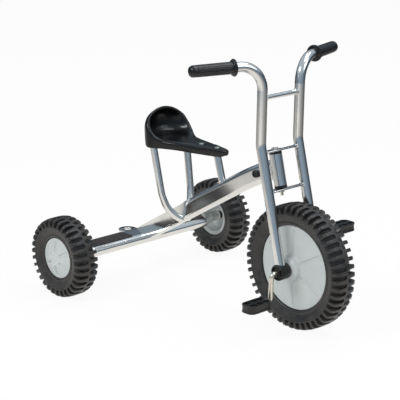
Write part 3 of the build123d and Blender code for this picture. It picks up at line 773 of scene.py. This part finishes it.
# ---- seat
@dataclass
class Seat:
    """Moulded seat: the solid's form with the thick rolled rims that the mould gives it.

    The skirt's lower edge stays sharp. What faces the focus, which is the bowl, is smoothed most.
    """

    voxel: float = 1.7 * MM
    first_passes: int = 8
    passes: int = 80
    sharp_below: float = 0.5 * MM
    soft_above: float = 8.0 * MM
    bowl_passes: int = 110
    facing: Pair = (-0.45, 0.15)
    focus: Vector = at(-0.150, 0.0, 0.475)
    reach: float = 120.0 * MM
    bolt_places: Pair = (-86.0 * MM, -27.5 * MM)

    def build(self) -> None:
        """Round the shell's rims, bring it back to its size and add the bolts."""
        shell = cad_copy("seat")
        before = [Vector(corner) for corner in shell.bound_box]
        modify(shell, "REMESH", mode="VOXEL", voxel_size=self.voxel)
        modify(shell, "SMOOTH", factor=0.5, iterations=self.first_passes)
        low = min(corner.z for corner in before)
        soft, (start, full) = self.soft_above - self.sharp_below, self.facing

        def above_skirt(corner: bpy.types.MeshVertex) -> float:
            """How far a corner is above the skirt's sharp edge, 1 where all is soft."""
            return (corner.co.z - low - self.sharp_below) / soft

        def in_bowl(corner: bpy.types.MeshVertex) -> float:
            """How much a corner near the focus faces it, 1 where it is smoothed in full."""
            way = self.focus - corner.co
            near = way.length < self.reach
            return (corner.normal.dot(way.normalized()) - start) / (full - start) if near else 0.0

        self.smooth_where(shell, "above the skirt", above_skirt, self.passes)
        self.smooth_where(shell, "inside the back", in_bowl, self.bowl_passes)
        self.stretch(shell, before)
        hand_in(settle(shell, "seat_moulded_shell", 180), "frame", Surface.SEAT, "seat")
        self.build_bolts()

    def smooth_where(self, shell: Piece, name: str, share: Callable[[Any], float],
                     passes: int) -> None:
        """Smooth each corner by its share, which goes into a vertex group.

        Args:
            shell: mesh object.
            name: name of the group.
            share: tells a corner's share, which is kept to 0 to 1.
            passes: passes of smoothing.
        """
        group = shell.vertex_groups.new(name=name)
        for corner in shell.data.vertices:
            group.add([corner.index], min(1.0, max(0.0, share(corner))), "REPLACE")
        modify(shell, "SMOOTH", factor=0.5, iterations=passes, vertex_group=name)

    def stretch(self, shell: Piece, before: list[Vector]) -> None:
        """Scale the shell so that it reaches as far as the solid's box."""
        here = [corner.co for corner in shell.data.vertices]
        back, front = limits(before, 0)
        low, high = limits(before, 2)
        ratios = [(end - start) / (now_end - now_start) for (start, end), (now_start, now_end) in (
            (limits(before, axis), limits(here, axis)) for axis in (0, 1))]
        scale = (*ratios, (high - low) / (limits(here, 2)[1] - low))
        centre = ((back - scale[0] * limits(here, 0)[0]) / (1 - scale[0]), 0.0, low)
        enter(shell)
        bpy.ops.transform.resize(value=scale, center_override=centre)
        leave()

    def build_bolts(self) -> None:
        """Two domed bolt heads in the seat's top, on shanks that reach the bracket."""
        line = [(0, 405.8), (1.8, 405.7), (3.6, 405.3), (5.2, 404.7), (6.4, 404), (7, 403.2), (7, 402),
                (3, 401.6), (3, 383.2), (0, 383.2)]
        bolts = copies(lathe(line, Axis.Z, 36), [Matrix.Translation((x, 0, 0)) for x in self.bolt_places])
        hand_in(settle(bolts, "seat_bolts_domed", 40), "frame", Surface.BOLT, "seat_bolts")


# ---- small metal and rubber
def edge_solids(body: str, surface: Surface, *nodes: str) -> None:
    """Show solids with the rounded edges of the real pieces: whole faces of their triangles, bevelled.

    Args:
        body: body that they move with.
        surface: finish that they take.
        *nodes: the solids.
    """
    for node in nodes:
        piece = cad_copy(node)
        enter(piece)
        bpy.ops.mesh.dissolve_limited(angle_limit=FLAT_ANGLE)
        leave()
        soften(piece, EDGE_ROUND, 40)
        hand_in(settle(piece, f"{node}_edged"), body, surface, node)


@dataclass
class Weld:
    """Weld bead: drops of uneven size along a line, melted into one ridge."""

    name: str
    body: str
    path: list[Vector]
    size: float = 2.0 * MM
    step: float = 3.0 * MM
    swell: float = 0.14
    swell_step: float = 5.1
    voxel: float = 0.5 * MM

    def drops(self) -> list[Vector]:
        """Where the drops lie along the path."""
        places = [self.path[0]]
        for here, there in zip(self.path, self.path[1:]):
            count = max(1, round((there - here).length / self.step))
            places += [here.lerp(there, k / count) for k in range(1, count + 1)]
        return places

    def build(self) -> None:
        """Copy one drop along the path and melt the drops together."""
        bpy.ops.mesh.primitive_ico_sphere_add(subdivisions=2, radius=self.size, location=(0, 0, 0))
        bead = copies(bpy.context.object, [
            Matrix.Translation(place) @ Matrix.Scale(1.0 + self.swell * math.sin(self.swell_step * n), 4)
            for n, place in enumerate(self.drops())])
        modify(bead, "REMESH", mode="VOXEL", voxel_size=self.voxel)
        modify(bead, "SMOOTH", factor=0.5, iterations=3)
        hand_in(settle(bead, self.name, 180), self.body, Surface.WELD)


def ring(centre: Vector, axis: Vector, radius: float, count: int = 24) -> list[Vector]:
    """Points of a closed circle about an axis, the first one again at the end."""
    turned = axis.to_track_quat("Z", "Y")
    angles = [math.radians(360 * k / count) for k in range(count + 1)]
    return [centre + turned @ Vector((radius * math.cos(a), radius * math.sin(a), 0)) for a in angles]


@dataclass
class Buffers:
    """Two rubber steering stops on the beam's sides, each held by a sunk screw. Sizes in millimetres."""

    centre: Vector
    inner: float = 12.5
    outer: float = 21.5
    radius: float = 10.0

    def build(self) -> None:
        """Turn one puck and copy it to both sides."""
        r, top = self.radius, self.outer
        puck = lathe([(0, self.inner), (r, self.inner), (r, self.inner + 1), (r - 0.5, self.inner + 1.6)] + [
            (radius, top - depth) for radius, depth in (
                (r - 0.5, 2.6), (r - 0.8, 1.4), (r - 1.8, 0.4), (r - 3.2, 0), (5.2, 0), (4.6, 0.4),
                (4.4, 2.2), (3.8, 2.4), (3.2, 1.8), (1.6, 1.5), (0, 1.4))], Axis.Y, 40)
        pair = copies(puck, [
            Matrix.Translation(self.centre) @ Matrix.Diagonal((1, side, 1, 1)) for side in (-1, 1)])
        face_outward(pair)
        hand_in(settle(pair, "steering_buffers_round", 35), "frame", Surface.RUBBER, "steering_buffers")


# ---- sub-assemblies
@dataclass(frozen=True)
class Head:
    """Middle of the steering head, with the directions along its tube and square ahead of it."""

    middle: Vector = at(0.18957, 0, 0.387)
    along: Vector = at(-0.2334, 0, 0.9724)
    ahead: Vector = at(0.9724, 0, 0.2334)

    def point(self, up: float, front: float, across: float) -> Vector:
        """A place by its millimetres along the head, ahead of it and to the left."""
        return self.middle + self.along * (up * MM) + self.ahead * (front * MM) + Vector((0, across * MM, 0))


@dataclass(frozen=True)
class TrikeFrame:
    """What carries the rider: beam, head tube, rear axle, seat posts and seat. Places in metres."""

    head: Head = Head()
    buffers: Vector = at(0.1285, 0.0, 0.3671)
    post_foot: Vector = at(-0.0112, 0, 0.3172)
    beam_up: Vector = at(-0.5, 0, 0.866)
    post_weld: float = 10.2 * MM

    def build(self) -> None:
        """Dress the tubes, soften the small parts, form the seat and the buffers, and weld."""
        keep(Surface.STEEL, "main_beam", "head_tube", "rear_axle",
             "seat_post_right", "seat_post_left", "seat_post_front")
        edge_solids("frame", Surface.STEEL, "tow_tab", "seat_bracket")
        edge_solids("frame", Surface.ZINC, "axle_collars")
        edge_solids("frame", Surface.BLACK, "head_bushes", "hub_spacers")
        edge_solids("frame", Surface.PAD, "step_pads")
        Seat().build()
        Buffers(self.buffers).build()
        for side in Side:
            seam = [self.head.point(up, -9.8, side.value * 12.4) for up in (-23, 0, 23)]
            Weld(f"weld_head_tube_{side.label}", "frame", seam).build()
        Weld("weld_front_post", "frame", ring(self.post_foot, self.beam_up, self.post_weld)).build()


@dataclass(frozen=True)
class Fork:
    """What steers: handlebar tubes, cross bar, cross plates, king bolt, grips and axle housings.

    Places are in metres and given for the left side. The plates' sizes are millimetres in the head's own
    directions, and leg is how far out, how thick and how far ahead a leg passes the plates.
    """

    hub: Vector
    head: Head = Head()
    bar_end: Vector = at(0.1969, 0.0528, 0.574)
    bar_weld: float = 6.6 * MM
    grip: Vector = at(0.17643, 0.136, 0.655)
    grip_way: Vector = at(-0.3007, 0.9537, 0.0)
    housing: Vector = at(0, 64.3 * MM, 0)
    plate_level: float = 48.3
    plate_half: float = 2.4
    leg: Triple = (64.3, 12.6, 20.5)
    seam: tuple[float, ...] = (9.5, 12, 15, 18, 20.5, 23, 26)

    def build(self) -> None:
        """Dress the tubes, soften the plates and the bolt, form housings and grips, and weld."""
        keep(Surface.STEEL, "handlebar_right", "handlebar_left", "upper_cross_bar")
        edge_solids("fork", Surface.STEEL, "middle_cross_plate", "lower_cross_plate")
        edge_solids("fork", Surface.ZINC, "king_bolt")
        for side in Side:
            AxleHousing(side, self.hub + side.mirror(self.housing)).build()
            Grip(side, side.mirror(self.grip), side.mirror(self.grip_way.normalized())).build()
            self.weld(side)

    def weld(self, side: Side) -> None:
        """Beads round the cross bar's end and along both faces of each plate where the leg passes."""
        circle = ring(side.mirror(self.bar_end), Vector((0, side.value, 0)), self.bar_weld)
        Weld(f"weld_upper_bar_{side.label}", "fork", circle, 2.7 * MM).build()
        out, radius, middle = self.leg
        for level, plate in ((self.plate_level, "middle"), (-self.plate_level, "lower")):
            for face, mark in ((self.plate_half, "top"), (-self.plate_half, "under")):
                path = [self.head.point(level + face, front, side.value * (
                    out - math.sqrt(radius ** 2 - (front - middle) ** 2))) for front in self.seam]
                Weld(f"weld_{plate}_plate_{mark}_{side.label}", "fork", path, 2.6 * MM).build()


@dataclass(frozen=True)
class FrontWheel:
    """Large tyre, two-faced disc and the crank rod with a pedal on each pin."""

    hub: Vector
    right_pin: Vector = at(0.26214, -0.108, 0.0886)
    left_pin: Vector = at(0.26936, 0.108, 0.2264)

    def section(self) -> Section:
        """The disc's section: bed for the tyre, rim, domed face and hub, the same on both faces."""
        half = [(101, 14), (105.9, 18.4), (105.8, 19.6), (104.8, 20.2), (103.6, 19.9), (102.4, 19.5),
                (100, 19.8), (92, 20.7), (84, 21.6), (76, 22.4), (68, 23.3), (60, 24.1), (52, 24.9),
                (44, 25.7), (38, 26.4), (34.4, 27.4), (32, 29.2), (30.4, 31.8), (29.2, 35), (27.6, 38.2),
                (25.2, 40.6), (22.6, 41.8), (20.4, 42.6), (19.8, 43.6), (19.4, 45.6), (18.6, 46), (6.6, 46)]
        return half + [(radius, -out) for radius, out in reversed(half)]

    def build(self) -> None:
        """Dress the crank rod and form the wheel and the pedals."""
        keep(Surface.ZINC, "crank_axle")
        Tyre("front_tyre", "front_wheel", self.hub, self.hub.z, 106 * MM, 18.5 * MM, 48).build()
        flute = ((33.5, 27.0), (98.0, 20.1))
        Disc("front_wheel", "front_wheel", self.hub, self.section(), flute, (1, -1)).build()
        Pedal(Side.RIGHT, self.right_pin).build()
        Pedal(Side.LEFT, self.left_pin).build()


@dataclass(frozen=True)
class RearWheel:
    """Small tyre and its disc, which is domed outside and hollow inside."""

    side: Side
    hub: Vector = at(-0.31725, 0.276, 0.106)

    def section(self) -> Section:
        """The disc's section: hollow inner face, bore, then the domed outer face."""
        inner = [(48.5, -19), (53.4, -21.8), (53.2, -23), (52, -23.5), (49, -22), (44.6, -19.4),
                 (44.3, -16), (44.3, 8), (42.8, 11.4), (39, 12.6), (22, 14.6), (18, 14.2), (16.4, 12.4),
                 (16, 9.6), (15.4, 9), (6.6, 9), (6.6, 24), (0, 24)]
        outer = [(0, 32.4), (8, 32.2), (15, 31.4), (21, 30.4), (27, 29.2), (33, 27.8), (39, 26.2), (44, 24.8),
                 (48, 23.7), (50.2, 23.0), (51.2, 23.4), (52.2, 23.5), (53.2, 23), (53.4, 21.8), (48.5, 19)]
        return inner + outer

    def build(self) -> None:
        """Form the tyre and the disc."""
        hub, wheel = self.side.mirror(self.hub), f"rear_wheel_{self.side.label}"
        Tyre(f"rear_tyre_{self.side.label}", wheel, hub, 106 * MM, 53.5 * MM, 22 * MM, 32).build()
        flute = ((17.5, 31.2), (48.0, 23.9))
        Disc(wheel, wheel, hub, self.section(), flute, (self.side.value,)).build()


# ---- studio
@dataclass(frozen=True)
class Surroundings:
    """What bright metal sees around it: pale ground, a grey-blue band at the horizon, a hazy sky.

    Angles are azimuths in degrees, 0 forward and 90 to the rider's left. The pairs are where one colour
    starts to pass into the next and where it has: heights of a direction, or metres along the ground.
    """

    sky_low: str = "#9FB0BE"
    sky_high: str = "#BCC9D3"
    band_light: str = "#93A6B7"
    band_dark: str = "#2B3137"
    band_light_at: float = -52.0
    sky_behind: str = "#66727C"
    behind_at: float = 137.0
    ground_near: str = "#FCFAF5"
    ground_far: str = "#B3B1AE"
    ground_bright: str = "#FFFDF9"
    ground_dull: str = "#6C6C6B"
    bright_at: float = -62.0
    dull_at: float = 72.0
    high_sky: Pair = (0.25, 0.6)
    behind_sky: Pair = (0.55, 0.3)
    band_sky: Pair = (0.13, 0.3)
    far_ground: Pair = (0.6, 1.8)
    band_ground: Pair = (2.55, 2.9)

    def toward(self, tree: Tree, place: Any, azimuth: float, narrow: float) -> Socket:
        """Share from 0 to 1 that is greatest toward one azimuth.

        Args:
            tree: node tree that takes the nodes.
            place: socket with a direction or a place, of which only the azimuth counts.
            azimuth: where the share is greatest, degrees.
            narrow: power that narrows the lobe.

        Returns:
            The share's socket.
        """
        flat = add(tree, "VectorMath", {0: place, 1: (1.0, 1.0, 0.0)}, operation="MULTIPLY")
        unit = add(tree, "VectorMath", {0: flat.outputs[0]}, operation="NORMALIZE")
        angle = math.radians(azimuth)
        cosine = add(tree, "VectorMath", {
            0: unit.outputs[0], 1: (math.cos(angle), math.sin(angle), 0.0)}, operation="DOT_PRODUCT")
        half = reckon(tree, "MULTIPLY_ADD", cosine.outputs["Value"], 0.5, 0.5)
        return reckon(tree, "POWER", half, narrow)

    def blend(self, tree: Tree, share: Any, low: Any, high: Any) -> Socket:
        """Colour between low and high by a share from 0 to 1."""
        return add(tree, "Mix", {"Factor": share, 6: low, 7: high}, data_type="RGBA").outputs[2]

    def step(self, tree: Tree, value: Any, start: float, end: float) -> Socket:
        """Share that rises smoothly from 0 at start to 1 at end."""
        return rescale(tree, value, (start, end), 0.0, 1.0, "SMOOTHSTEP")

    def band(self, tree: Tree, place: Any) -> Socket:
        """Colour of the horizon band toward a direction."""
        share = self.toward(tree, place, self.band_light_at, 1.5)
        return self.blend(tree, share, srgb(self.band_dark), srgb(self.band_light))

    def sky(self, tree: Tree, place: Any) -> Socket:
        """Colour of the band and the sky above the horizon."""
        height = add(tree, "SeparateXYZ", {"Vector": place}).outputs["Z"]
        high = self.step(tree, height, *self.high_sky)
        upper = self.blend(tree, high, srgb(self.sky_low), srgb(self.sky_high))
        behind = self.toward(tree, place, self.behind_at, 7.0)
        low = reckon(tree, "MULTIPLY", behind, self.step(tree, height, *self.behind_sky))
        upper = self.blend(tree, low, upper, srgb(self.sky_behind))
        return self.blend(tree, self.step(tree, height, *self.band_sky), self.band(tree, place), upper)

    def ground(self, tree: Tree, place: Any) -> Socket:
        """Painted light and shade that the floor glows with in reflections: pale near by, lighter and darker
        by azimuth farther out, then the band.
        """
        away = add(tree, "VectorMath", {0: place}, operation="LENGTH").outputs["Value"]
        dull = self.toward(tree, place, self.dull_at, 4.0)
        far = self.blend(tree, dull, srgb(self.ground_far), srgb(self.ground_dull))
        far = self.blend(tree, self.toward(tree, place, self.bright_at, 9.0), far, srgb(self.ground_bright))
        pale = self.blend(tree, self.step(tree, away, *self.far_ground), srgb(self.ground_near), far)
        return self.blend(tree, self.step(tree, away, *self.band_ground), pale, self.band(tree, place))


@dataclass(frozen=True)
class Softbox:
    """Rectangular lamp, turned toward the middle of the tricycle. Metres and watts."""

    name: str
    place: Triple
    size: Pair
    power: float
    target: Triple = (0, 0, 0.3)

    def hang(self) -> None:
        """Create the lamp."""
        light = bpy.data.lights.new(self.name, "AREA")
        light.shape = "RECTANGLE"
        light.size, light.size_y = self.size
        light.energy = self.power
        lamp = link(self.name, light)
        lamp.location = self.place
        aim = Vector(self.target) - Vector(self.place)
        lamp.rotation_euler = aim.to_track_quat("-Z", "Y").to_euler()


@dataclass(frozen=True)
class Studio:
    """Pale floor and soft light from above, with the surroundings that gloss sees."""

    floor_size: float = 60.0
    floor_glow: float = 0.93
    air: float = 0.62
    seen: Surroundings = Surroundings()
    lamps: tuple[Softbox, ...] = (
        Softbox("key_softbox", (-0.3, -3.2, 3.35), (1.5, 0.8), 66.0),
        Softbox("top_softbox", (0.6, 0.9, 3.3), (2.4, 1.8), 34.0),
        Softbox("fill_softbox", (3.2, 1.4, 2.6), (2.4, 2.0), 24.0))

    def build(self) -> None:
        """Set up the view transform, the world, the floor and the lamps."""
        bpy.context.scene.view_settings.view_transform = "Standard"
        self.light_world()
        self.lay_floor()
        for lamp in self.lamps:
            lamp.hang()

    def light_world(self) -> None:
        """White surroundings for the eye, the sky for gloss, and an even light for the rest."""
        world = bpy.data.worlds.new("Studio air")
        tree = fresh(world)
        rays = add(tree, "LightPath")
        clear = reckon(tree, "MAXIMUM", rays.outputs["Is Camera Ray"], rays.outputs["Is Transmission Ray"])
        place = add(tree, "TexCoord").outputs["Generated"]
        even = add(tree, "Background", {"Color": srgb("#F4F6FA"), "Strength": self.air})
        gloss = add(tree, "Background", {"Color": self.seen.sky(tree, place)})
        white = add(tree, "Background", {"Color": (1.0, 1.0, 1.0, 1.0)})
        lit = mix(tree, rays.outputs["Is Glossy Ray"], even, gloss)
        lit = mix(tree, clear, lit, white)
        add(tree, "OutputWorld", {"Surface": lit.outputs[0]})
        bpy.context.scene.world = world

    def lay_floor(self) -> None:
        """A wide pale floor that keeps the tricycle's soft shadow."""
        bpy.ops.mesh.primitive_plane_add(size=self.floor_size, location=(0, 0, 0))
        floor = bpy.context.object
        floor.name = "studio_floor"
        material = bpy.data.materials.new("Painted studio floor, pale")
        tree = fresh(material)
        rays = add(tree, "LightPath")
        place = add(tree, "TexCoord").outputs["Object"]
        paint = add(tree, "BsdfDiffuse", {"Color": srgb("#F1F0EE")})
        glow = add(tree, "Emission", {"Color": (1.0, 1.0, 1.0, 1.0)})
        # Seen only in reflections, the floor glows with painted light and shade, the surroundings' ground.
        seen = add(tree, "Emission", {"Color": self.seen.ground(tree, place)})
        share = reckon(tree, "MULTIPLY", rays.outputs["Is Camera Ray"], self.floor_glow)
        lit = mix(tree, share, paint, glow)
        lit = mix(tree, rays.outputs["Is Glossy Ray"], lit, seen)
        add(tree, "OutputMaterial", {"Surface": lit.outputs[0]})
        floor.data.materials.append(material)


@dataclass(frozen=True)
class ViewCamera:
    """Long lens that looks down at the front right of the tricycle."""

    place: Triple = (2.5399, -2.4280, 1.2756)
    look: Triple = (-0.7066819, 0.6518839, -0.2750417)
    roll_deg: float = -0.27
    lens_mm: float = 128.607
    sensor_mm: float = 36.0

    def build(self) -> None:
        """Create the camera and make it the scene's own."""
        data = bpy.data.cameras.new("view_camera")
        data.lens = self.lens_mm
        data.sensor_width = self.sensor_mm
        data.clip_end = 100.0
        camera = link("view_camera", data)
        aim = Vector(self.look).to_track_quat("-Z", "Y")
        aim = aim @ Quaternion((0, 0, 1), math.radians(self.roll_deg))
        camera.location = self.place
        camera.rotation_euler = aim.to_euler()
        bpy.context.scene.camera = camera


def main() -> None:
    """Build the tricycle's looks in order."""
    logging.basicConfig(level=logging.INFO, format="%(message)s")
    front_hub = Vector((0.26575, 0.0, 0.1575))
    for assembly in (TrikeFrame(), Fork(front_hub), FrontWheel(front_hub), RearWheel(Side.RIGHT),
                     RearWheel(Side.LEFT), Studio(), ViewCamera()):
        LOG.info("%s", type(assembly).__name__)
        assembly.build()


if __name__ == "__main__":
    main()
